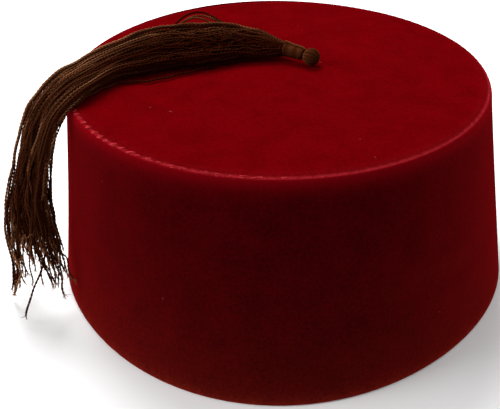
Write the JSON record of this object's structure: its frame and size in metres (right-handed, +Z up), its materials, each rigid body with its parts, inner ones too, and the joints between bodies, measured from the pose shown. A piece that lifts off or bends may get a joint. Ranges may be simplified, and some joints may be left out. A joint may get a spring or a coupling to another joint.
{
  "type": "fez hat with tassel",
  "caption": "Stiff oval velvet fez that narrows to a flat top panel, open below, with a thread-wound knob and a long loose tassel over one side.",
  "frame": {"origin": "middle of the oval head opening, in the plane of the rim that the hat rests on", "axes": "+Z up towards the top panel; Y along the long axis of the head opening; the tassel falls over the edge towards -X and a little -Y"},
  "size_m": [0.1945, 0.1996, 0.096],
  "materials": {
    "velvet_side": "short dense velvet pile, deep red, lighter at grazing angles",
    "velvet_top": "short dense velvet pile, deep red, with a few lint specks",
    "wound_thread": "dark brown rayon thread, closely wound, soft gloss",
    "tassel_strand": "dark brown two-ply twisted rayon, soft gloss"
  },
  "bodies": {
    "root": {"crown_wall": "velvet_side", "crown_tip": "velvet_top", "tassel_knob": "wound_thread", "tassel_collar": "wound_thread", "tassel_skirt": "tassel_strand"}
  },
  "joints": []
}
